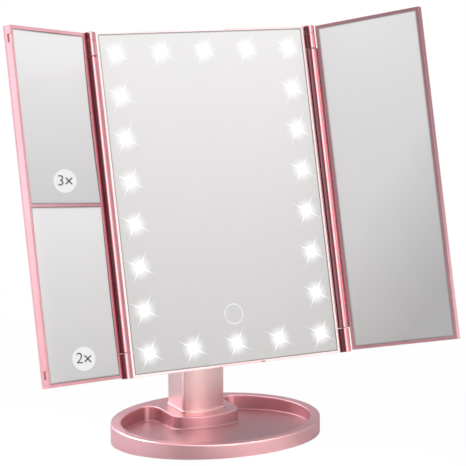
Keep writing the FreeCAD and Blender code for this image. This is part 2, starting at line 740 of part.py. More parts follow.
def make_front_frame():
    """Front moulding: glass recess, lamp windows, screw bosses, finger notches and hinge knuckles."""
    body = new_body("front_frame")
    add(body, "XZ", "frame_front", "frame_depth", box_about("frame_half_width", "frame_half_height"))
    for side in (-1, 1):
        left, right = outward(side, "frame_half_width - frame_wall / 2", "hinge_half_span")
        for low, high in ((KNUCKLE_TOP_LOW, KNUCKLE_TOP_HIGH), ("-frame_half_height", KNUCKLE_BOTTOM_HIGH)):
            add(body, "XY", low, "%s - (%s)" % (high, low),
                rectangle(left, right, "-frame_front", "hinge_web_thickness - frame_front"))
            add(body, "XY", low, "%s - (%s)" % (high, low),
                circle("%d * hinge_half_span" % side, "-hinge_front", "hinge_barrel_radius"))
            cut(body, "XY", low, "%s - (%s)" % (high, low),
                circle("%d * hinge_half_span" % side, "-hinge_front", "hinge_pin_radius"))
    cut(body, "XZ", "frame_front", "glass_sink + glass_thickness",
        box_about("glass_half_width + glass_clearance", "glass_half_height + glass_clearance"))
    cut(body, "XZ", "floor_back", "floor_back - joint_plane",
        box_about("frame_half_width - frame_wall", "frame_half_height - frame_wall"))
    cut(body, "XZ", "floor_front", "frame_floor",
        circle("0", "-touch_drop", "touch_pad_radius + glass_clearance"),
        *[circle(x, z, "lamp_window_radius") for x, z in LAMP_PLACES])
    add(body, "XZ", "floor_back", "floor_back - joint_plane",
        *[circle(x, z, "cover_boss_radius") for x, z in COVER_SCREW_PLACES])
    cut(body, "XZ", "joint_plane + cover_screw_length - cover_wall", "cover_screw_length - cover_wall",
        *[circle(x, z, "cover_screw_radius") for x, z in COVER_SCREW_PLACES])
    for side in (-1, 1):
        low, high = outward(side, "frame_half_height - notch_height", "frame_half_height + notch_height")
        cut(body, "XZ", "frame_front", "notch_depth",
            rectangle("-notch_half_width", "notch_half_width", low, high))
    finished(body, "front_frame", HEAD_PLACE)


def make_centre_mirror():
    glass = block("centre_glass", ("-glass_half_width", "glass_half_width"),
                  ("glass_sink - frame_front", "glass_sink + glass_thickness - frame_front"),
                  ("-glass_half_height", "glass_half_height"))
    finished(grouped("centre_mirror_set", [glass]), "center_mirror", HEAD_PLACE)


def make_lamps():
    """A lamp behind each window, and the frame-shaped board that carries them all."""
    lamps = []
    for x, z in LAMP_PLACES:
        lamps.append(block("lamp", ("%s - lamp_width / 2" % x, "%s + lamp_width / 2" % x),
                           ("-floor_back - lamp_thickness", "-floor_back"),
                           ("%s - lamp_height / 2" % z, "%s + lamp_height / 2" % z)))
    finished(grouped("lamp_set", lamps), "lamps", HEAD_PLACE)
    board = new_body("lamp_board")
    add(board, "XZ", "floor_back", "lamp_board_thickness",
        box_about("lamp_half_width + lamp_board_half_band", "lamp_half_height + lamp_board_half_band"),
        box_about("lamp_half_width - lamp_board_half_band", "lamp_half_height - lamp_board_half_band"))
    finished(board, "lamp_board", HEAD_PLACE)


def make_electronics():
    """Touch pad against the glass, the control board behind it, and the charging socket on that board."""
    board_back = "(cover_inside + board_post_length)"
    board_front = "(%s + board_thickness)" % board_back
    pad = rod("touch_disc", "touch_pad_radius", "touch_pad_thickness",
              "0", "-touch_drop", "-floor_front", "back")
    stem = rod("touch_stem", "touch_stem_radius", "floor_front - touch_pad_thickness - " + board_front,
               "0", "-touch_drop", "touch_pad_thickness - floor_front", "back")
    finished(fused("touch_sensor", [pad, stem]), "touch_pad", HEAD_PLACE)
    board = new_body("control_board")
    add(board, "XZ", board_front, "board_thickness",
        rectangle("board_shift - board_half_width", "board_shift + board_half_width",
                  "-touch_drop - board_half_height", "board_half_height - touch_drop"))
    finished(board, "control_board", HEAD_PLACE)
    socket = new_body("usb_socket")
    length = board_back + " - cover_back"
    add(socket, "XZ", board_back, length,
        rectangle("socket_shift - socket_width / 2", "socket_shift + socket_width / 2",
                  "-touch_drop - socket_height / 2", "socket_height / 2 - touch_drop"))
    shift = size("socket_shift")
    drop = size("touch_drop")

    def at_corner(edge):
        point = edge.CenterOfMass
        return runs_along(edge, 1) and any(
            near(point.x, shift + x * size("socket_width") / 2) and
            near(point.z, z * size("socket_height") / 2 - drop) for x, z in CORNERS)

    round_edges(socket, "socket_height / 3", at_corner)
    cut(socket, "XZ", board_back + " - socket_wall", length + " - socket_wall",
        rectangle("socket_shift - socket_width / 2 + 2 * socket_wall",
                  "socket_shift + socket_width / 2 - 2 * socket_wall",
                  "-touch_drop - socket_height / 2 + socket_wall",
                  "socket_height / 2 - socket_wall - touch_drop"))
    tongue = "socket_wall / 2"
    add(socket, "XZ", board_back, length + " - 2 * socket_wall",
        rectangle("socket_shift - socket_width / 4", "socket_shift + socket_width / 4",
                  "-touch_drop - " + tongue, tongue + " - touch_drop"))
    finished(socket, "usb_socket", HEAD_PLACE)


def make_back_cover():
    """Rear moulding: shell, battery box, door rails, board posts, screw bosses and socket window."""
    body = new_body("back_cover")
    add(body, "XZ", "joint_plane", "cover_depth", box_about("frame_half_width", "frame_half_height"))
    back = -size("cover_back")

    def on_back_face(edge):
        return all(near(v.Y, back) for v in edge.Vertexes)

    round_edges(body, "cover_edge_radius", on_back_face)
    cut(body, "XZ", "joint_plane", "cover_depth - cover_wall",
        box_about("frame_half_width - frame_wall - cover_edge_radius / 2",
                  "frame_half_height - frame_wall - cover_edge_radius / 2"))
    add(body, "XZ", "box_front + box_wall", "box_front + box_wall - cover_inside",
        rectangle("-%s - box_wall" % BOX_HALF_WIDTH, BOX_HALF_WIDTH + " + box_wall",
                  "box_low - box_wall", "box_high + box_wall"))
    cut(body, "XZ", "box_front", "box_front - cover_back",
        rectangle("-" + BOX_HALF_WIDTH, BOX_HALF_WIDTH, "box_low", "box_high"))
    add(body, "XZ", "joint_plane", "cover_depth - cover_wall",
        *[circle(x, z, "cover_boss_radius") for x, z in COVER_SCREW_PLACES])
    cut(body, "XZ", "joint_plane", "cover_depth",
        *[circle(x, z, "cover_screw_radius + screw_clearance") for x, z in COVER_SCREW_PLACES])
    cut(body, "XZ", "cover_back + cover_screw_head_height", "cover_screw_head_height",
        *[circle(x, z, "cover_screw_head_radius + screw_clearance") for x, z in COVER_SCREW_PLACES])
    add(body, "XZ", "cover_inside + board_post_length", "board_post_length",
        *[circle("board_shift + %d * (board_half_width - board_post_inset)" % i,
                 "%d * (board_half_height - board_post_inset) - touch_drop" % j, "board_post_radius")
          for i, j in CORNERS])
    cut(body, "XZ", "cover_inside", "cover_wall",
        rectangle("socket_shift - socket_width / 2 - socket_clearance",
                  "socket_shift + socket_width / 2 + socket_clearance",
                  "-touch_drop - socket_height / 2 - socket_clearance",
                  "socket_height / 2 + socket_clearance - touch_drop"))
    for side in (-1, 1):
        groove = DOOR_HALF_WIDTH + " + door_tongue + door_clearance"
        outer = groove + " + door_rail_width"
        left, right = outward(side, groove, outer)
        add(body, "XZ", "cover_back", "door_thickness + door_clearance",
            rectangle(left, right, "door_low", "door_high"))
        left, right = outward(side, DOOR_HALF_WIDTH + " + door_clearance", outer)
        add(body, "XZ", "cover_back - door_tongue_thickness - 2 * door_clearance",
            "door_thickness - door_tongue_thickness - door_clearance",
            rectangle(left, right, "door_low", "door_high"))
    cut(body, "XZ", "cover_inside", "cover_wall",
        *[circle(x, z, "bracket_screw_radius") for x, z in BRACKET_SCREW_PLACES])
    finished(body, "back_cover", HEAD_PLACE)


def make_cover_screws():
    screws = []
    length = "cover_depth - cover_screw_head_height + cover_screw_length - cover_wall"
    for x, z in COVER_SCREW_PLACES:
        shank = rod("cover_shank", "cover_screw_radius", length, x, z,
                    "-cover_back - cover_screw_head_height - (%s)" % length, "back")
        head = rod("cover_head", "cover_screw_head_radius", "cover_screw_head_height", x, z,
                   "-cover_back - cover_screw_head_height", "back")
        screws.append(fused("cover_screw", [shank, head]))
    finished(grouped("cover_screw_set", screws), "cover_screws", HEAD_PLACE)


def make_battery():
    """Cells side by side, a spring and a plate contact for each, and the sliding door over them."""
    cells = []
    contacts = []
    depth = "-cell_depth"
    for x in CELL_PLACES:
        can = rod("cell_can", "cell_radius", "cell_length", x, depth, "cell_middle - cell_length / 2")
        nub = rod("cell_nub", "cell_nub_radius", "cell_nub_length", x, depth, "cell_middle + cell_length / 2")
        cells.append(fused("cell", [can, nub]))
        span = (x + " - contact_half_width", x + " + contact_half_width")
        reach = (depth + " - contact_half_width", depth + " + contact_half_width")
        contacts.append(block("plate_contact", span, reach, ("box_high - contact_thickness", "box_high")))
        leaf = block("spring_leaf", span, reach, ("box_low", "box_low + contact_thickness"))
        coil = doc.addObject("Part::Cone", "spring_cone")
        bind(coil, "Radius1", "contact_half_width")
        bind(coil, "Radius2", "contact_spring_radius")
        bind(coil, "Height", "contact_spring_length")
        for axis, text in zip("xyz", (x, depth, "box_low + contact_thickness")):
            bind(coil, "Placement.Base." + axis, text)
        contacts.append(fused("spring_contact", [leaf, coil]))
    finished(grouped("cell_set", cells), "batteries", HEAD_PLACE)
    finished(grouped("contact_set", contacts), "battery_contacts", HEAD_PLACE)
    door = new_body("battery_door")
    face = "cover_back - door_clearance"
    add(door, "XZ", face, "door_tongue_thickness",
        rectangle("-%s - door_tongue" % DOOR_HALF_WIDTH, DOOR_HALF_WIDTH + " + door_tongue",
                  "door_low", "door_high"))
    add(door, "XZ", face + " - door_tongue_thickness", "door_thickness - door_tongue_thickness",
        rectangle("-" + DOOR_HALF_WIDTH, DOOR_HALF_WIDTH, "door_low", "door_high"))
    ribs = []
    for i in range(GRIP_RIBS):
        low = "door_high - door_lap - %d * door_grip_pitch" % i
        ribs.append(rectangle("-door_grip_half_width", "door_grip_half_width",
                              low + " - door_grip_height", low))
    cut(door, "XZ", face + " - door_thickness + door_grip_depth", "door_grip_depth", *ribs)
    finished(door, "battery_door", HEAD_PLACE)


def make_bracket():
    """Two round ears on a screwed plate; they straddle the column and turn on its shaft."""
    body = new_body("pivot_bracket")
    plate_back = "(cover_back - bracket_plate_thickness)"
    add(body, "XZ", "cover_back", "bracket_plate_thickness",
        box_about("bracket_half_width", "bracket_half_height"))
    rise = "bracket_ear_radius"
    for start in ("-ear_outer", "ear_inner"):
        add(body, "YZ", start, "bracket_ear_thickness",
            outline(("-%s - bracket_plate_thickness / 2" % plate_back, "-bracket_ear_half_root"),
                    ("0", "-" + rise), ("0", rise),
                    ("-%s - bracket_plate_thickness / 2" % plate_back, "bracket_ear_half_root")))
        add(body, "YZ", start, "bracket_ear_thickness", circle("0", "0", "bracket_ear_radius"))
    cut(body, "YZ", "-ear_outer", "2 * ear_outer",
        circle("0", "0", "pivot_radius + pivot_shaft_clearance"))
    cut(body, "XZ", "cover_back", "bracket_plate_thickness",
        *[circle(x, z, "bracket_screw_radius + screw_clearance") for x, z in BRACKET_SCREW_PLACES])
    finished(body, "pivot_bracket", HEAD_PLACE)
    screws = []
    for x, z in BRACKET_SCREW_PLACES:
        shank = rod("bracket_shank", "bracket_screw_radius", "bracket_plate_thickness + cover_wall", x, z,
                    "-cover_inside", "back")
        head = rod("bracket_head", "bracket_screw_head_radius", "bracket_screw_head_height", x, z,
                   "-" + plate_back, "back")
        screws.append(fused("bracket_screw", [shank, head]))
    finished(grouped("bracket_screw_set", screws), "bracket_screws", HEAD_PLACE)
    caps = [rod("cap", "pivot_cap_radius", "pivot_cap_thickness", "0", "0", start, "across")
            for start in ("-ear_outer - pivot_cap_thickness", "ear_outer")]
    finished(grouped("pivot_cap_set", caps), "pivot_caps", HEAD_PLACE)


def make_hinge_pins():
    """Upper and lower pin of each wing, and the rounded cap over each upper knuckle."""
    caps = []
    for side, label in ((-1, "left_hinge_pins"), (1, "right_hinge_pins")):
        x = "%d * hinge_half_span" % side
        y = "-hinge_front"
        low = KNUCKLE_TOP_LOW + " - hinge_pin_reach"
        upper = rod("upper_pin", "hinge_pin_radius", "%s - (%s)" % (KNUCKLE_TOP_HIGH, low), x, y, low)
        lower = rod("lower_pin", "hinge_pin_radius", "hinge_knuckle_bottom + hinge_pin_reach", x, y,
                    "-frame_half_height")
        finished(grouped(label + "_set", [upper, lower]), label, HEAD_PLACE)
        cap = rod("cap_body", "hinge_barrel_radius", "hinge_cap_height", x, y,
                  "frame_half_height - hinge_cap_height")
        neck = rod("cap_neck", "hinge_pin_radius", "hinge_cap_groove", x, y, KNUCKLE_TOP_HIGH)
        whole = fused("cap_whole", [cap, neck])
        doc.recompute()
        names = [i + 1 for i, edge in enumerate(whole.Shape.Edges)
                 if near(edge.CenterOfMass.z, size("frame_half_height")) and not runs_along(edge, 2)]
        smooth = doc.addObject("Part::Fillet", "cap_rounded")
        smooth.Base = whole
        smooth.Edges = [(i, size("hinge_cap_edge"), size("hinge_cap_edge")) for i in names]
        caps.append(smooth)
    finished(grouped("hinge_cap_set", caps), "hinge_caps", HEAD_PLACE)


# Wings: pieces in the wing's own frame, whose origin is on the hinge axis

WING_FRONT = "(-hinge_lead)"
GLASS_INNER = "wing_inner + wing_rim"
GLASS_OUTER = "wing_outer - wing_rim"
GLASS_TOP = "wing_half_height - wing_rim"


def make_wing(side, name, panes):
    """Frame with its long barrel, back panel, and a pane with its pad in each recess."""
    place = wing_place(side)
    frame = new_body(name + "_frame")
    left, right = outward(side, "wing_inner", "wing_outer")
    add(frame, "XZ", WING_FRONT, "wing_frame_depth",
        rectangle(left, right, "-wing_half_height", "wing_half_height"))
    left, right = outward(side, "0", "wing_inner + wing_rim / 2")
    add(frame, "XY", BARREL_LOW, BARREL_HIGH + " - " + BARREL_LOW,
        rectangle(left, right, "hinge_lead", "hinge_lead + hinge_web_thickness"))
    add(frame, "XY", BARREL_LOW, BARREL_HIGH + " - " + BARREL_LOW, circle("0", "0", "hinge_barrel_radius"))
    depth = "hinge_pin_reach"
    for low in (BARREL_LOW, BARREL_HIGH + " - " + depth):
        cut(frame, "XY", low, depth, circle("0", "0", "hinge_pin_radius + hinge_pin_clearance"))
    left, right = outward(side, GLASS_INNER, GLASS_OUTER)
    for label, low, high, curve in panes:
        cut(frame, "XZ", WING_FRONT, "wing_recess", rectangle(left, right, low, high))
    if side < 0:
        left, right = outward(side, "wing_outer - wing_notch_depth", "wing_outer + wing_notch_depth")
        for end in (-1, 1):
            middle = "%d * wing_notch_offset" % end
            cut(frame, "XZ", WING_FRONT, "wing_notch_thickness",
                rectangle(left, right, middle + " - wing_notch_half_length",
                          middle + " + wing_notch_half_length"))
    finished(frame, name + "_frame", place)
    make_wing_back(side, name, place)
    pads = []
    for label, low, high, curve in panes:
        finished(make_pane(side, label, low, high, curve), label, place)
        pads.append(make_pane_pad(side, label, low, high))
    finished(grouped(name + "_pad_set", pads), name + "_mirror_pads", place)


def make_wing_back(side, name, place):
    back = new_body(name + "_back")
    left, right = outward(side, "wing_inner", "wing_outer")
    add(back, "XZ", WING_FRONT + " - wing_frame_depth", "wing_back_thickness",
        rectangle(left, right, "-wing_half_height", "wing_half_height"))
    rear = size("hinge_lead + wing_frame_depth + wing_back_thickness")
    round_edges(back, "wing_back_edge", lambda edge: all(near(v.Y, rear) for v in edge.Vertexes))
    finished(back, name + "_back", place)


def pane_block(side, label, inset, low, high, front, back):
    left, right = outward(side, "%s + %s" % (GLASS_INNER, inset), "%s - %s" % (GLASS_OUTER, inset))
    return block(label, (left, right), (front, back),
                 ("(%s) + %s" % (low, inset), "(%s) - %s" % (high, inset)))


def make_pane(side, label, low, high, curve):
    """A mirror pane; a magnifying one has a front hollowed by a large sphere."""
    front = "hinge_lead + glass_sink"
    pane = pane_block(side, label + "_blank", "glass_clearance", low, high,
                      front, front + " + wing_glass_thickness")
    if curve is None:
        return grouped(label + "_set", [pane])
    radius = size(curve)
    wide = size("(wing_outer - wing_inner) / 2 - wing_rim")
    doc.recompute()
    tall = pane.Shape.BoundBox.ZLength / 2
    sag = radius - (radius ** 2 - wide ** 2 - tall ** 2) ** 0.5
    centre = pane.Shape.BoundBox.Center
    ball = doc.addObject("Part::Sphere", label + "_ball")
    bind(ball, "Radius", curve)
    ball.Placement = FreeCAD.Placement(V(centre.x, pane.Shape.BoundBox.YMin + sag - radius, centre.z),
                                       FreeCAD.Rotation(V(1, 0, 0), 90))
    hollowed = doc.addObject("Part::Cut", label + "_hollowed")
    hollowed.Base = pane
    hollowed.Tool = ball
    return hollowed


def make_pane_pad(side, label, low, high):
    front = "hinge_lead + glass_sink + wing_glass_thickness"
    return pane_block(side, label + "_pad", "wing_pad_inset", low, high,
                      front, front + " + wing_pad_thickness")


def make_wings():
    make_wing(-1, "left_wing", [
        ("left_upper_mirror", "wing_bar_half_width", GLASS_TOP, "upper_mirror_curve"),
        ("left_lower_mirror", "-(%s)" % GLASS_TOP, "-wing_bar_half_width", "lower_mirror_curve")])
    make_wing(1, "right_wing", [("right_mirror", "-(%s)" % GLASS_TOP, GLASS_TOP, None)])


def write_parts():
    """Writes every sub-part once the whole document is sound."""
    doc.recompute()
    for thing in doc.Objects:
        if "Invalid" in thing.State or "Error" in thing.State:
            raise RuntimeError("%s failed: %s" % (thing.Label, thing.State))
    for thing in sub_parts:
        if thing.Shape.isNull() or not thing.Shape.isValid():
            raise RuntimeError("%s has no valid shape" % thing.Label)
    os.makedirs("parts", exist_ok=True)
    for thing in sub_parts:
        thing.Shape.exportStep("parts/%s.step" % thing.Label)
        print("%-22s %2d solids %10.1f mm3" % (thing.Label, len(thing.Shape.Solids), thing.Shape.Volume))


make_base_tray()
make_base_underside()
make_column()
make_pivot()
make_front_frame()
make_centre_mirror()
make_lamps()
make_electronics()
make_back_cover()
make_cover_screws()
make_battery()
make_bracket()
make_hinge_pins()
make_wings()
write_parts()
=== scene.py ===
"""Looks of the lighted folding makeup mirror: finishes, lamp glow, touch ring and number marks."""
import json
import math

import bpy
from mathutils import Color, Matrix, Vector
from mathutils.bvhtree import BVHTree


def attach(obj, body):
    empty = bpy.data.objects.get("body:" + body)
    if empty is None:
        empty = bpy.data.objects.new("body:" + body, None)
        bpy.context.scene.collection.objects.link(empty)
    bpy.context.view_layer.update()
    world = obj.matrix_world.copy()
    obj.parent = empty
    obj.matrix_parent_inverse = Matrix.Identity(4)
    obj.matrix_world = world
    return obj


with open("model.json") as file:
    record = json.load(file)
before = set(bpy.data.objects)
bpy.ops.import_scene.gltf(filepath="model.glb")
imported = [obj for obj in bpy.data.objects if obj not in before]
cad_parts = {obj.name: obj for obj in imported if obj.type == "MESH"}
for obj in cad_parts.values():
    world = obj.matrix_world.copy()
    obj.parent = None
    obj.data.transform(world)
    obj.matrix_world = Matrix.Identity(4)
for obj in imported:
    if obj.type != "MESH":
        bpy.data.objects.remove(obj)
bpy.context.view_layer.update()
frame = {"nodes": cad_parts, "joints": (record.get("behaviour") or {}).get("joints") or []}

NODES = frame["nodes"]
JOINTS = {joint["name"]: joint for joint in frame["joints"]}
MM = 0.001

# Camera, as the photograph was taken
CAMERA_PLACE = (-0.6308, -1.1782, 0.3601)
CAMERA_TARGET = (0.01615, 0.00503, 0.14362)
CAMERA_LENS = 150.0
SENSOR_WIDTH = 36.0

# Studio: its plain level, and panels by direction, edges of reach (cosines) and added colour
STUDIO_LEVEL = (0.31, 0.31, 0.34)
STUDIO_PANELS = {"front": ((0.17, -0.97, 0.17), 0.75, 0.97, (0.95, 0.92, 0.88)),
                 "rear_left": ((-0.57, 0.8, 0.0), 0.7, 0.97, (0.6, 0.62, 0.76)),
                 "above": ((0.0, 0.0, 1.0), 0.35, 0.9, (0.6, 0.6, 0.6)),
                 "left": ((-0.99, 0.14, 0.0), 0.955, 0.992, (1.6, 1.6, 1.66)),
                 "right": ((1.0, -0.03, 0.06), 0.97, 0.993, (0.7, 0.66, 0.69)),
                 "front_right": ((0.85, -0.5, 0.1), 0.75, 0.97, (0.38, 0.37, 0.36)),
                 "dark_camera_side": ((-0.47, -0.86, 0.2), 0.8, 0.97, (-0.2, -0.2, -0.22))}

# Floor: its tone in the light, and how far its shadow and its reflection in the object reach
FLOOR_HALF = 6.0
FLOOR_GREY = (0.4, 0.4, 0.4)
FLOOR_ROUGHNESS = 0.9
SHADOW_REACH = (0.2, 0.6)
SHADOW_WHITE = 0.98
REFLECTION_REACH = (0.15, 0.4)

# Colours of light
WHITE = (1.0, 1.0, 1.0)
WARM = (1.0, 0.93, 0.86)
COOL = (0.9, 0.92, 1.0)

# Colours of the finishes: linear, as a light and a dark tone
# ROSE_PALE, ROSE_RICH, ROSE_SOFT and ROSE_LIGHT are copies of one rose paint, lighter on the front frame
# and column and richer on the wing frames: painted light and shade of how light falls on each part
ROSE_PALE = ((0.9, 0.535, 0.555), (0.83, 0.475, 0.5))
ROSE_RICH = ((0.82, 0.44, 0.465), (0.74, 0.38, 0.41))
ROSE_SOFT = ((0.95, 0.69, 0.675), (0.9, 0.63, 0.62))
ROSE_LIGHT = ((0.93, 0.72, 0.72), (0.88, 0.66, 0.66))
STEEL = ((0.55, 0.55, 0.56), (0.4, 0.4, 0.41))
FOAM = ((0.03, 0.03, 0.03), (0.012, 0.012, 0.012))
NYLON = ((0.8, 0.8, 0.76), (0.7, 0.7, 0.66))
LAMP_CREAM = ((0.95, 0.93, 0.8), (0.9, 0.88, 0.7))
BOARD_WHITE = ((0.75, 0.77, 0.75), (0.66, 0.68, 0.66))
COPPER = ((0.8, 0.42, 0.25), (0.65, 0.3, 0.17))
CELL_BLACK = ((0.06, 0.065, 0.07), (0.03, 0.032, 0.035))
ETCHED_WHITE = ((0.9, 0.9, 0.9), (0.84, 0.84, 0.84))
MARK_PALE = ((0.81, 0.81, 0.8), (0.77, 0.77, 0.76))
MARK_INK = ((0.035, 0.035, 0.037), (0.02, 0.02, 0.022))

# Grain: noise scales, the bands of noise that carry the tones, and relief
CLOUD_SCALE = 24.0
FLAKE_SCALE = 2600.0
ETCH_SCALE = 3000.0
PRINT_SCALE = 1500.0
CLOUD_SHARE = 0.7
ROSE_BAND = (0.35, 0.65)
GRAIN_BAND = (0.3, 0.7)
FLAKE_RELIEF = 0.03
FLAKE_DEPTH = 0.1 * MM
GRAIN_DEPTH = 0.2 * MM
EDGE_SAMPLES = 6

# Gloss: roughness of coat, glass and print, and how far grain takes roughness down and up
COAT_ROUGHNESS = 0.15
GLASS_ROUGHNESS = 0.04
GLASS_SPECULAR = 0.1
ETCH_ROUGHNESS = (0.55, 0.75)
PRINT_ROUGHNESS = 0.5
ROSE_SPREAD = (-0.04, 0.05)
PLAIN_SPREAD = (-0.05, 0.05)

# Painted highlight and shade on the hinges: light on a barrel's lit side, shade on its far side, its seams
# and the groove beside it; a lit side is given as right and back in the hinge's frame
ROSE_PAINTED_HIGHLIGHT = (0.74, 0.33, 0.36)
ROSE_SHADE = (0.28, 0.075, 0.1)
ROSE_GROOVE_SHADE = (0.44, 0.19, 0.215)
BARREL_RADIUS = 3.8 * MM
BARREL_MARGIN = 0.1 * MM
GROOVE_RADIUS = BARREL_RADIUS + 0.3 * MM
TONE_REACH = 5.0 * MM
TONE_FADE = 0.4 * MM
SEAM_WIDTH = 0.6 * MM
SEAM_CORE = 0.6 * SEAM_WIDTH
LIT_FACING = (0.35, 0.75)
KNUCKLE_LIT_SIDE = (0.3, -0.95)
LEFT_LIT_SIDE = (-0.16, -0.98)
RIGHT_LIT_SIDE = (0.75, -0.66)

# Painted shade on the tray's sunk floor, darker low in the well: levels, and edge as a share of the oval
ROSE_WELL_SHADE = (0.65, 0.4, 0.42)
WELL_FLOOR = 7.0 * MM
WELL_RIM = 16.0 * MM
WELL_EDGE = (0.88, 0.93)

# Silvering: tint, and the painted shade of a dark border along the pane's edges
SILVER_TINT = (1.0, 0.995, 0.987)
SCREEN_WHITE = 255
BORDER_START = 0.2 * MM
BORDER_WIDTH = 1.1 * MM
BORDER_SHADE = 0.55

# Lamp glow on the centre mirror
LAMP_PACKAGE = (3.5 * MM, 2.8 * MM)
LAMP_COLUMNS = 5
LAMP_ROWS = 8
GLOW_CORE = 4.6 * MM
CORE_START = 0.3 * GLOW_CORE
GLOW_HALO = 10.0 * MM
HALO_START = 0.4 * GLOW_CORE
HALO_LEVEL = 0.35
SPIKE_ANGLES = (-28.0, 60.0)
SPIKE_LENGTH = 15.5 * MM
SPIKE_WIDTH = 1.0 * MM
SPIKE_TIP = 0.001 * MM
SPIKE_LEVEL = 0.8
PALE_GLOW = 0.45

# Marks on the glass: a number mark has text, pane, place across and up, and tilt; a ring, share and lift
PRINT_LIFT = 0.05 * MM
DROP_START = 100.0 * MM
TOUCH_RING_RADIUS = 7.2 * MM
TOUCH_RING_LINE = 0.65 * MM
TOUCH_RING_STEPS = 96
NUMBER_MARKS = (("3×", "left_upper_mirror", -43.0 * MM, 16.1 * MM, 0.0),
                ("2×", "left_lower_mirror", -44.0 * MM, -100.4 * MM, -0.074))
MARK_HALF_WIDTH = 12.5 * MM
MARK_HALF_HEIGHT = 7.85 * MM
MARK_STEPS = 72
MARK_RINGS = ((1.0, 0.0), (1.0, PRINT_LIFT), (0.66, PRINT_LIFT), (0.33, PRINT_LIFT))
MARK_LEAN = 0.18
MARK_STRETCH = 1.62
MARK_TEXT_SIZE = 10.0 * MM
MARK_THINNING = 0.07 * MM
TIMES_GROWTH = 1.2
TIMES_DROP = 0.5 * MM


# Frames of the panel and the wings, worked out from the joints

def panel_matrix(hinge, turn=0.0):
    """Axes right, back and up of the leaning panel, turned about up, at a hinge's place."""
    up = Vector(JOINTS["left_wing_fold"]["axis"]).normalized()
    right = Matrix.Rotation(math.radians(turn), 3, up) @ Vector((1, 0, 0))
    back = up.cross(right)
    place = Vector(JOINTS[hinge]["pos_m"])
    columns = Matrix((right, back, up)).transposed().to_4x4()
    return Matrix.Translation(place) @ columns


PANEL = panel_matrix("head_tilt")
LEFT_WING = panel_matrix("left_wing_fold", -JOINTS["left_wing_fold"]["range_deg"][0])
RIGHT_WING = panel_matrix("right_wing_fold", -JOINTS["right_wing_fold"]["range_deg"][1])


def axes(matrix):
    """Axes right, back and up of a frame."""
    return [matrix.col[i].to_3d() for i in range(3)]


def local_points(node, matrix):
    """A node's points in a frame."""
    inverse = matrix.inverted()
    return [inverse @ vertex.co for vertex in NODES[node].data.vertices]


def local_box(node, matrix):
    """Lowest and highest corner of a node in a frame."""
    points = local_points(node, matrix)
    low = Vector([min(p[i] for p in points) for i in range(3)])
    high = Vector([max(p[i] for p in points) for i in range(3)])
    return low, high


# Node helpers

class Nodes:
    """A node tree, with short calls for the nodes that the finishes and the world share."""

    def __init__(self, tree):
        self.tree = tree

    def node(self, kind, **settings):
        """A new node with its settings."""
        made = self.tree.nodes.new(kind)
        for key, value in settings.items():
            setattr(made, key, value)
        return made

    def put(self, socket, value):
        """Links a socket or sets a constant."""
        if isinstance(value, bpy.types.NodeSocket):
            self.tree.links.new(value, socket)
        else:
            socket.default_value = value

    def math(self, operation, first, second=0.0, clamp=False):
        """One step of arithmetic."""
        made = self.node("ShaderNodeMath", operation=operation, use_clamp=clamp)
        self.put(made.inputs[0], first)
        self.put(made.inputs[1], second)
        return made.outputs[0]

    def distance(self, first, second):
        """Distance from two sides at right angles."""
        squares = self.math("ADD", self.math("POWER", first, 2.0), self.math("POWER", second, 2.0))
        return self.math("SQRT", squares)

    def dot(self, vector, axis):
        """Reach of a vector along an axis."""
        made = self.node("ShaderNodeVectorMath", operation="DOT_PRODUCT")
        self.put(made.inputs[0], vector)
        self.put(made.inputs[1], axis)
        return made.outputs["Value"]

    def place(self):
        """A point of the object in the shared frame at rest."""
        return self.node("ShaderNodeTexCoord").outputs["Object"]

    def along(self, axis, origin):
        """Distance of a point along an axis, from an origin."""
        return self.math("SUBTRACT", self.dot(self.place(), axis), axis.dot(origin))

    def noise(self, scale, detail=3.0):
        """Soft noise over the object."""
        made = self.node("ShaderNodeTexNoise")
        self.put(made.inputs["Vector"], self.place())
        self.put(made.inputs["Scale"], scale)
        self.put(made.inputs["Detail"], detail)
        return made.outputs["Fac"]

    def span(self, value, low, high, start, end, smooth=False):
        """Maps a value from one range to another, held at the ends."""
        made = self.node("ShaderNodeMapRange", interpolation_type="SMOOTHSTEP" if smooth else "LINEAR")
        for socket, number in zip(made.inputs, (value, low, high, start, end)):
            self.put(socket, number)
        return made.outputs[0]

    def ramp(self, value, *stops):
        """Colours along a value from 0 to 1."""
        made = self.node("ShaderNodeValToRGB")
        elements = made.color_ramp.elements
        while len(elements) < len(stops):
            elements.new(0.5)
        for element, (position, colour) in zip(elements, stops):
            element.position = position
            element.color = (*colour, 1.0)
        self.put(made.inputs[0], value)
        return made.outputs[0]

    def mottle(self, value, band, tones):
        """Goes from the dark tone to the light one over a band of values."""
        light, dark = tones
        return self.ramp(value, (band[0], dark), (band[1], light))

    def blend(self, first, second, share):
        """Goes from one colour to another by a share."""
        made = self.node("ShaderNodeMix", data_type="RGBA")
        self.put(made.inputs["Factor"], share)
        pair = [socket for socket in made.inputs if socket.type == "RGBA"]
        for socket, colour in zip(pair, (first, second)):
            self.put(socket, (*colour, 1.0) if isinstance(colour, tuple) else colour)
        return next(socket for socket in made.outputs if socket.type == "RGBA")

    def ray(self, kind):
        """Whether a ray is of a kind."""
        return self.node("ShaderNodeLightPath").outputs[kind]

    def mix(self, first, second, share):
        """Goes from one surface to another by a share."""
        made = self.node("ShaderNodeMixShader")
        for socket, value in zip(made.inputs, (share, first, second)):
            self.put(socket, value)
        return made.outputs[0]


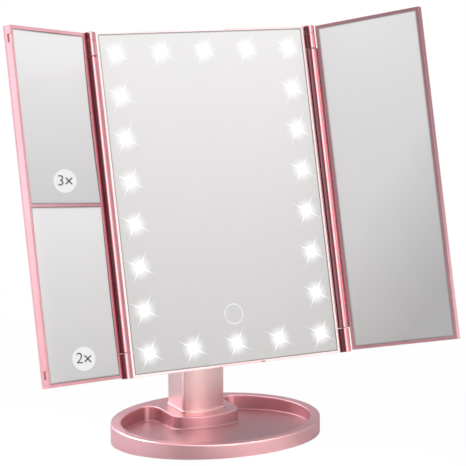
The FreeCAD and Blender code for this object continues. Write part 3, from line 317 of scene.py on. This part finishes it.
class Shader(Nodes):
    """A material with its surface."""

    def __init__(self, name):
        self.material = bpy.data.materials.new(name)
        self.material.use_nodes = True
        super().__init__(self.material.node_tree)
        self.surface = self.tree.nodes["Principled BSDF"]

    def set(self, **values):
        """Sets inputs of the surface; words in the name are joined by underscores."""
        for key, value in values.items():
            if isinstance(value, tuple) and len(value) == 3:
                value = (*value, 1.0)
            self.put(self.surface.inputs[key.replace("_", " ")], value)

    def bump(self, height, strength, distance, edge=0.0):
        """Surface relief, over softened edges where an edge radius is given."""
        made = self.node("ShaderNodeBump")
        self.put(made.inputs["Strength"], strength)
        self.put(made.inputs["Distance"], distance)
        self.put(made.inputs["Height"], height)
        if edge:
            bevel = self.node("ShaderNodeBevel", samples=EDGE_SAMPLES)
            self.put(bevel.inputs["Radius"], edge)
            self.put(made.inputs["Normal"], bevel.outputs[0])
        self.set(Normal=made.outputs[0])


# Rose paint

def seam_levels(node, matrix):
    """Heights of the ends of a wing's hinge barrel."""
    near = BARREL_RADIUS + BARREL_MARGIN
    heights = [p.z for p in local_points(node, matrix) if p.xy.length < near]
    return min(heights), max(heights)


def barrel_painted_light(lit_side, *hinges):
    """Painted highlight and shade round hinges: light on the lit side, shade on the far side, the seams and
    the groove.
    """
    def tone(shader, colour):
        for matrix, seams in hinges:
            right, back, up = axes(matrix)
            origin = matrix.translation
            away = shader.distance(shader.along(right, origin), shader.along(back, origin))
            towards = shader.along(right * lit_side[0] + back * lit_side[1], origin)
            facing = shader.math("DIVIDE", towards, shader.math("MAXIMUM", away, BARREL_MARGIN))
            lit = shader.span(facing, *LIT_FACING, 0.0, 1.0, smooth=True)
            height = shader.along(up, origin)
            for level in seams:
                gap = shader.math("ABSOLUTE", shader.math("SUBTRACT", height, level))
                lit = shader.math("MULTIPLY", lit, shader.span(gap, SEAM_CORE, SEAM_WIDTH, 0.0, 1.0))
            # Painted highlight on the barrel's lit side, painted shade on its far side, in its seams and in
            # the groove beside it
            barrel = shader.blend(ROSE_SHADE, ROSE_PAINTED_HIGHLIGHT, lit)
            groove = shader.span(away, BARREL_RADIUS + BARREL_MARGIN, GROOVE_RADIUS, 0.0, 1.0)
            deep = shader.blend(barrel, ROSE_GROOVE_SHADE, groove)
            share = shader.span(away, TONE_REACH - TONE_FADE, TONE_REACH, 1.0, 0.0)
            colour = shader.blend(colour, deep, share)
        return colour
    return tone


def well_painted_shade(shader, colour):
    """Painted shade on the sunk floor of the tray, which fades towards its rim."""
    low, high = local_box("base_tray", Matrix())
    middle = (low + high) / 2
    half = (high - low) / 2
    right, back, up = axes(Matrix())
    across = shader.math("DIVIDE", shader.along(right, middle), half.x)
    depth = shader.math("DIVIDE", shader.along(back, middle), half.y)
    inside = shader.span(shader.distance(across, depth), *WELL_EDGE, 1.0, 0.0)
    sunk = shader.span(shader.along(up, low), WELL_FLOOR, WELL_RIM, 1.0, 0.0)
    return shader.blend(colour, ROSE_WELL_SHADE, shader.math("MULTIPLY", inside, sunk))


def rose_finish(name, tones, roughness, edge, coat=0.3, painted_light=None):
    """Metallic rose paint: fine flakes, slight cloudiness of tone and gloss, softened edges."""
    shader = Shader(name)
    cloud = shader.noise(CLOUD_SCALE)
    flake = shader.noise(FLAKE_SCALE, detail=1.0)
    grain = shader.math("ADD", shader.math("MULTIPLY", cloud, CLOUD_SHARE),
                        shader.math("MULTIPLY", flake, 1.0 - CLOUD_SHARE))
    colour = shader.mottle(grain, ROSE_BAND, tones)
    # Painted light and shade by place, where given
    if painted_light:
        colour = painted_light(shader, colour)
    smoothest, roughest = (roughness + change for change in ROSE_SPREAD)
    shader.set(Base_Color=colour, Metallic=1.0, Coat_Weight=coat, Coat_Roughness=COAT_ROUGHNESS,
               Roughness=shader.span(flake, *GRAIN_BAND, smoothest, roughest))
    shader.bump(flake, FLAKE_RELIEF, FLAKE_DEPTH, edge)
    return shader.material


# Silvered glass and lamp glow

def silver(level):
    """Linear grey of painted reflection on silvered glass, from a screen level."""
    grey = Color([level / SCREEN_WHITE] * 3).from_srgb_to_scene_linear()
    return tuple(value * tint for value, tint in zip(grey, SILVER_TINT))


def from_nearest(shader, value, half, count):
    """Signed distance to the nearest of evenly spaced places, and whether it is an end one."""
    pitch = 2 * half / (count - 1)
    middle = (count - 1) / 2
    step = shader.math("ROUND", shader.math("DIVIDE", shader.math("ADD", value, half), pitch))
    step = shader.math("MINIMUM", shader.math("MAXIMUM", step, 0.0), count - 1)
    nearest = shader.math("SUBTRACT", shader.math("MULTIPLY", step, pitch), half)
    off_middle = shader.math("ABSOLUTE", shader.math("SUBTRACT", step, middle))
    is_end = shader.math("GREATER_THAN", off_middle, middle - 0.5)
    return shader.math("SUBTRACT", value, nearest), is_end


def spike(shader, side, rise, angle):
    """A fine line of light through a lamp, which narrows and fades towards its tips."""
    cosine = math.cos(math.radians(angle))
    sine = math.sin(math.radians(angle))
    run = shader.math("ADD", shader.math("MULTIPLY", side, cosine),
                      shader.math("MULTIPLY", rise, sine))
    off = shader.math("SUBTRACT", shader.math("MULTIPLY", rise, cosine),
                      shader.math("MULTIPLY", side, sine))
    fade = shader.span(shader.math("ABSOLUTE", run), 0.0, SPIKE_LENGTH, 1.0, 0.0)
    width = shader.math("ADD", shader.math("MULTIPLY", fade, SPIKE_WIDTH), SPIKE_TIP)
    beside = shader.math("DIVIDE", shader.math("ABSOLUTE", off), width)
    inside = shader.math("SUBTRACT", 1.0, beside, clamp=True)
    return shader.math("MULTIPLY", inside, shader.math("MULTIPLY", fade, SPIKE_LEVEL))


def star_glow(shader):
    """Glow of the lamps round the edge of the centre mirror: a core, a halo and four fine spikes each."""
    outer = local_box("lamps", PANEL)[1]
    right, _, up = axes(PANEL)
    across = shader.along(right, PANEL.translation)
    height = shader.along(up, PANEL.translation)
    side, column_end = from_nearest(shader, across, outer.x - LAMP_PACKAGE[0] / 2, LAMP_COLUMNS)
    rise, row_end = from_nearest(shader, height, outer.z - LAMP_PACKAGE[1] / 2, LAMP_ROWS)
    away = shader.distance(side, rise)
    core = shader.span(away, CORE_START, GLOW_CORE, 1.0, 0.0, smooth=True)
    halo = shader.span(away, HALO_START, GLOW_HALO, HALO_LEVEL, 0.0, smooth=True)
    glow = shader.math("ADD", core, halo)
    for angle in SPIKE_ANGLES:
        glow = shader.math("ADD", glow, spike(shader, side, rise, angle))
    return shader.math("MULTIPLY", glow, shader.math("MAXIMUM", column_end, row_end), clamp=True)


def to_edge(shader, value, low, high):
    """Distance of a value from the nearer end of its range."""
    return shader.math("MINIMUM", shader.math("SUBTRACT", value, low), shader.math("SUBTRACT", high, value))


def silver_pane(name, node, matrix, levels, gloss, slant=0.0, lit=False):
    """Silvered glass on a pane, with painted reflection in grey levels from bottom to top that may slant,
    and painted shade in a dark border.
    """
    shader = Shader(name)
    low, high = local_box(node, matrix)
    right, _, up = axes(matrix)
    across = shader.along(right, matrix.translation)
    height = shader.along(up, matrix.translation)
    # Painted reflection of the room: grey levels, darker towards the bottom
    fall = shader.math("ADD", shader.span(height, low.z, high.z, 0.0, 1.0),
                       shader.span(across, low.x, high.x, slant / 2, -slant / 2))
    stops = [(i / (len(levels) - 1), silver(level)) for i, level in enumerate(levels)]
    inset = shader.math("MINIMUM", to_edge(shader, across, low.x, high.x),
                        to_edge(shader, height, low.z, high.z))
    # Painted shade along the pane's edges
    border = shader.span(inset, BORDER_START, BORDER_WIDTH, BORDER_SHADE, 1.0, smooth=True)
    tone = shader.node("ShaderNodeVectorMath", operation="SCALE")
    shader.put(tone.inputs[0], shader.ramp(fall, *stops))
    shader.put(tone.inputs["Scale"], border)
    face_normal = shader.node("ShaderNodeNewGeometry").outputs["True Normal"]
    shader.set(Base_Color=tone.outputs[0], Metallic=gloss, Roughness=GLASS_ROUGHNESS,
               Specular_IOR_Level=GLASS_SPECULAR, Normal=face_normal)
    if lit:
        even = shader.span(height, low.z, high.z, 1.0, PALE_GLOW)
        glow = shader.math("MULTIPLY", star_glow(shader), even)
        shader.set(Emission_Color=WHITE, Emission_Strength=glow)
    dress(shader.material, node)


# Other finishes

def plain_finish(name, tones, roughness, metallic=0.0, scale=400.0, relief=0.05):
    """Two close tones, mottled, with fine relief."""
    shader = Shader(name)
    grain = shader.noise(scale)
    smoothest, roughest = (roughness + change for change in PLAIN_SPREAD)
    shader.set(Base_Color=shader.mottle(grain, GRAIN_BAND, tones), Metallic=metallic,
               Roughness=shader.span(grain, *GRAIN_BAND, smoothest, roughest))
    shader.bump(grain, relief, GRAIN_DEPTH)
    return shader.material


def etched_finish(name):
    """Fine matt white of etched glass."""
    shader = Shader(name)
    grain = shader.noise(ETCH_SCALE)
    shader.set(Base_Color=shader.mottle(grain, GRAIN_BAND, ETCHED_WHITE),
               Roughness=shader.span(grain, *GRAIN_BAND, *ETCH_ROUGHNESS))
    return shader.material


def print_finish(name, tones):
    """Ink with a little grain."""
    shader = Shader(name)
    grain = shader.noise(PRINT_SCALE)
    shader.set(Base_Color=shader.mottle(grain, GRAIN_BAND, tones), Roughness=PRINT_ROUGHNESS)
    return shader.material


def floor_finish(name):
    """Grey in the light; to the eye white with a soft shadow, and white in reflections further off."""
    shader = Shader(name)
    shader.set(Base_Color=FLOOR_GREY, Roughness=FLOOR_ROUGHNESS, Specular_IOR_Level=0.0)
    white = shader.node("ShaderNodeEmission")
    shader.put(white.inputs["Color"], (*WHITE, 1.0))
    length = shader.node("ShaderNodeVectorMath", operation="LENGTH")
    shader.put(length.inputs[0], shader.place())
    away = length.outputs["Value"]
    to_eye = shader.span(away, *SHADOW_REACH, SHADOW_WHITE, 1.0, smooth=True)
    to_gloss = shader.span(away, *REFLECTION_REACH, 0.0, 1.0, smooth=True)
    share = shader.math("MAXIMUM", shader.math("MULTIPLY", shader.ray("Is Camera Ray"), to_eye),
                        shader.math("MULTIPLY", shader.ray("Is Glossy Ray"), to_gloss))
    seen = shader.mix(shader.surface.outputs[0], white.outputs[0], share)
    shader.put(shader.tree.nodes["Material Output"].inputs["Surface"], seen)
    return shader.material


# Finishes on the CAD nodes

def dress(material, *nodes):
    """Gives CAD nodes a finish."""
    for name in nodes:
        mesh = NODES[name].data
        mesh.materials.clear()
        mesh.materials.append(material)


def dress_mouldings():
    """Rose paint in copies lighter or richer by part as painted light and shade, with painted shade on the
    tray's well and painted highlight and shade on the knuckles and each barrel.
    """
    left_seams = seam_levels("left_wing_frame", LEFT_WING)
    right_seams = seam_levels("right_wing_frame", RIGHT_WING)
    knuckles = barrel_painted_light(KNUCKLE_LIT_SIDE, (panel_matrix("left_wing_fold"), left_seams),
                           (panel_matrix("right_wing_fold"), right_seams))
    left_barrel_painted_light = barrel_painted_light(LEFT_LIT_SIDE, (LEFT_WING, left_seams))
    right_barrel_painted_light = barrel_painted_light(RIGHT_LIT_SIDE, (RIGHT_WING, right_seams))
    dress(rose_finish("rose_tray", ROSE_PALE, roughness=0.4, edge=0.15 * MM, coat=0.1,
                      painted_light=well_painted_shade), "base_tray")
    dress(rose_finish("rose_column", ROSE_SOFT, roughness=0.34, edge=0.5 * MM),
          "column", "pivot_bracket", "pivot_caps")
    dress(rose_finish("rose_frame", ROSE_LIGHT, roughness=0.22, edge=0.35 * MM, painted_light=knuckles),
          "front_frame", "hinge_caps")
    for side, barrel in (("left", left_barrel_painted_light), ("right", right_barrel_painted_light)):
        dress(rose_finish("rose_" + side, ROSE_RICH, roughness=0.22, edge=0.35 * MM, coat=0.1,
                          painted_light=barrel), side + "_wing_frame")
    dress(rose_finish("rose_back", ROSE_PALE, roughness=0.36, edge=0.5 * MM),
          "back_cover", "battery_door", "left_wing_back", "right_wing_back")


def dress_panes():
    """Silver on every pane, with painted reflection and shade in its grey levels, and the glow of the lamps
    on the centre one.
    """
    # Each pane's grey levels are painted reflection and shade, set by how the pane faces the light; the
    # right pane's also slant across it
    silver_pane("centre_silver", "center_mirror", PANEL, levels=(195, 227), gloss=0.18, lit=True)
    silver_pane("upper_silver", "left_upper_mirror", LEFT_WING, levels=(198, 229), gloss=0.05)
    silver_pane("lower_silver", "left_lower_mirror", LEFT_WING, levels=(199, 226), gloss=0.05)
    silver_pane("right_silver", "right_mirror", RIGHT_WING, levels=(188, 231, 241), gloss=0.06, slant=0.35)


def dress_works():
    """Metal, rubber, plastic and lacquer of the pieces inside and below."""
    dress(plain_finish("plated_steel", STEEL, roughness=0.28, metallic=1.0),
          "base_plate", "base_screws", "column_screws", "pivot_shaft", "cover_screws", "bracket_screws",
          "left_hinge_pins", "right_hinge_pins", "battery_contacts", "usb_socket")
    dress(plain_finish("foam_rubber", FOAM, roughness=0.85, scale=900.0, relief=0.4),
          "foot_pad", "left_wing_mirror_pads", "right_wing_mirror_pads")
    dress(plain_finish("nylon", NYLON, roughness=0.5), "friction_washers")
    dress(plain_finish("lamp_package", LAMP_CREAM, roughness=0.35), "lamps")
    dress(plain_finish("board_lacquer", BOARD_WHITE, roughness=0.42), "lamp_board", "control_board")
    dress(plain_finish("copper_foil", COPPER, roughness=0.3, metallic=1.0), "touch_pad")
    dress(plain_finish("cell_jacket", CELL_BLACK, roughness=0.3, metallic=0.3), "batteries")


# Marks on the glass

def new_object(name, data):
    """An object in the scene."""
    made = bpy.data.objects.new(name, data)
    bpy.context.scene.collection.objects.link(made)
    return made


def new_mesh(name, vertices, faces, material):
    """A mesh object with its material."""
    mesh = bpy.data.meshes.new(name)
    mesh.from_pydata(vertices, [], faces)
    mesh.update()
    mesh.materials.append(material)
    return new_object(name, mesh)


def new_piece(name, vertices, faces, material, body):
    """A mesh that rides on a body."""
    piece = new_mesh(name, vertices, faces, material)
    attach(piece, body)


def glass_dropper(node, matrix):
    """A function that lays a point of the panel's plane on the node's front surface."""
    mesh = NODES[node].data
    tree = BVHTree.FromPolygons([v.co for v in mesh.vertices], [p.vertices for p in mesh.polygons])
    inward = axes(matrix)[1]

    def drop(across, up, lift):
        start = matrix @ Vector((across, -DROP_START, up))
        hit = tree.ray_cast(start, inward)[0]
        return hit - inward * lift
    return drop


def oval_points(count, half_width, half_height):
    """Points round an oval about the origin."""
    turns = [2 * math.pi * i / count for i in range(count)]
    return [(half_width * math.cos(turn), half_height * math.sin(turn)) for turn in turns]


def bridge(first, second, count):
    """Faces between two closed loops of points, by the loops' numbers."""
    after = [(j + 1) % count for j in range(count)]
    return [(first * count + j, second * count + j, second * count + k, first * count + k)
            for j, k in enumerate(after)]


def touch_ring():
    """Etched ring that marks the touch sensor."""
    low, high = local_box("touch_pad", PANEL)
    middle = (low + high) / 2
    drop = glass_dropper("center_mirror", PANEL)
    inner = TOUCH_RING_RADIUS - TOUCH_RING_LINE
    loops = ((inner, 0.0), (inner, PRINT_LIFT), (TOUCH_RING_RADIUS, PRINT_LIFT), (TOUCH_RING_RADIUS, 0.0))
    points = [drop(middle.x + x, middle.z + z, lift) for radius, lift in loops
              for x, z in oval_points(TOUCH_RING_STEPS, radius, radius)]
    faces = []
    for i in range(len(loops)):
        faces += bridge(i, (i + 1) % len(loops), TOUCH_RING_STEPS)
    new_piece("touch_ring", points, faces, etched_finish("etched_ring"), "head")


def mark_layer(node, across, level, tilt):
    """A function that lays a point of a number mark on its pane, leaning and tilted."""
    drop = glass_dropper(node, LEFT_WING)

    def lay(x, z, lift):
        return drop(across + x + MARK_LEAN * z, level + z + tilt * x, lift)
    return lay


def mark_oval(name, lay, material):
    """Pale oval that follows the hollow of the glass by its rings."""
    points = [lay(share * x, share * z, lift) for share, lift in MARK_RINGS
              for x, z in oval_points(MARK_STEPS, MARK_HALF_WIDTH, MARK_HALF_HEIGHT)]
    points.append(lay(0.0, 0.0, PRINT_LIFT))
    last = len(MARK_RINGS) - 1
    faces = []
    for i in range(last):
        faces += bridge(i + 1, i, MARK_STEPS)
    start = last * MARK_STEPS
    faces += [(start + j, start + (j + 1) % MARK_STEPS, len(points) - 1) for j in range(MARK_STEPS)]
    new_piece(name, points, faces, material, "left_wing")


def text_mesh(name, text):
    """Flat letters about the origin, with the times sign at the right enlarged and lowered."""
    outline = bpy.data.curves.new(name, "FONT")
    outline.body = text
    outline.size = MARK_TEXT_SIZE
    outline.offset = -MARK_THINNING
    outline.align_x = "CENTER"
    outline.align_y = "CENTER"
    writer = new_object(name, outline)
    bpy.context.view_layer.update()
    flat = bpy.data.meshes.new_from_object(writer)
    bpy.data.objects.remove(writer)
    sign = [v for v in flat.vertices if v.co.x > 0]
    middle = sum((v.co for v in sign), Vector()) / len(sign)
    for v in sign:
        v.co = middle + TIMES_GROWTH * (v.co - middle) - Vector((0, TIMES_DROP, 0))
    return flat


def mark_number(name, text, lay, material):
    """Magnification in ink over the oval."""
    flat = text_mesh(name + "_text", text)
    points = [lay(MARK_STRETCH * v.co.x, v.co.y, 2 * PRINT_LIFT) for v in flat.vertices]
    faces = [tuple(p.vertices) for p in flat.polygons]
    new_piece(name + "_number", points, faces, material, "left_wing")


def number_marks():
    """A pale oval with the magnification, printed on each of the left wing's panes."""
    pale = print_finish("mark_pale", MARK_PALE)
    ink = print_finish("mark_ink", MARK_INK)
    for text, node, across, level, tilt in NUMBER_MARKS:
        name = node.replace("mirror", "mark")
        lay = mark_layer(node, across, level, tilt)
        mark_oval(name, lay, pale)
        mark_number(name, text, lay, ink)


# Stage

def new_aimed(name, data, place, target):
    """A camera or a light at a place, turned to a target."""
    made = new_object(name, data)
    made.location = place
    made.rotation_euler = (Vector(target) - Vector(place)).to_track_quat("-Z", "Y").to_euler()
    return made


def add_camera():
    """Camera at the photograph's viewing angle."""
    lens = bpy.data.cameras.new("camera")
    lens.lens = CAMERA_LENS
    lens.sensor_width = SENSOR_WIDTH
    bpy.context.scene.camera = new_aimed("camera", lens, CAMERA_PLACE, CAMERA_TARGET)


def add_floor():
    """Pale floor: white to the eye, with the object's own soft shadow."""
    signs = ((-1, -1), (1, -1), (1, 1), (-1, 1))
    corners = [(x * FLOOR_HALF, y * FLOOR_HALF, 0) for x, y in signs]
    floor = new_mesh("floor", corners, [(0, 1, 2, 3)], floor_finish("floor_white"))


def add_world():
    """White to the eye; to the object, a studio with bright panels and a dark one."""
    world = bpy.data.worlds.new("studio")
    bpy.context.scene.world = world
    world.use_nodes = True
    nodes = Nodes(world.node_tree)
    nodes.tree.nodes.clear()
    direction = nodes.node("ShaderNodeTexCoord").outputs["Generated"]
    level = STUDIO_LEVEL
    for name, (towards, low, high, colour) in STUDIO_PANELS.items():
        reach = nodes.span(nodes.dot(direction, towards), low, high, 0.0, 1.0, smooth=True)
        panel = nodes.node("ShaderNodeVectorMath", operation="MULTIPLY_ADD", label=name)
        for socket, value in zip(panel.inputs, (colour, reach, level)):
            nodes.put(socket, value)
        level = panel.outputs[0]
    room = nodes.node("ShaderNodeBackground")
    nodes.put(room.inputs["Color"], level)
    white = nodes.node("ShaderNodeBackground")
    nodes.put(white.inputs["Color"], (*WHITE, 1.0))
    output = nodes.node("ShaderNodeOutputWorld")
    seen = nodes.mix(room.outputs[0], white.outputs[0], nodes.ray("Is Camera Ray"))
    nodes.put(output.inputs["Surface"], seen)


def add_softbox(name, place, target, size, power, colour=WHITE, spread=180.0):
    """A square or oblong lamp, narrowed to a beam by its spread in degrees."""
    light = bpy.data.lights.new(name, "AREA")
    light.shape = "RECTANGLE"
    light.size, light.size_y = size
    light.energy = power
    light.color = colour
    light.spread = math.radians(spread)
    new_aimed(name, light, place, target)


def add_lights():
    """Large softboxes, and two pools of light on the floor that the tray's wall reflects."""
    add_softbox("strip", place=(0.1, -1.6, 0.95), target=(0, 0, 0.15), size=(0.7, 1.3), power=6.0)
    add_softbox("fill", place=(-1.0, 1.5, 1.7), target=(-0.1, 0.2, 0), size=(2.0, 2.0), power=18.0)
    add_softbox("top", place=(0.1, -0.4, 2.2), target=(0, 0, 0.1), size=(3.0, 3.0), power=34.0)
    add_softbox("front_pool", place=(-0.02, -0.55, 0.9), target=(0.015, -0.16, 0), size=(0.04, 0.04),
                power=3.2, colour=WARM, spread=10.0)
    add_softbox("rear_pool", place=(-0.45, 0.45, 1.0), target=(-0.2, 0.05, 0), size=(0.1, 0.1),
                power=0.9, colour=COOL, spread=15.0)


# Everything, in order

dress_mouldings()
dress_panes()
dress_works()
touch_ring()
number_marks()
add_camera()
add_floor()
add_world()
add_lights()
bpy.context.scene.view_settings.view_transform = "Standard"
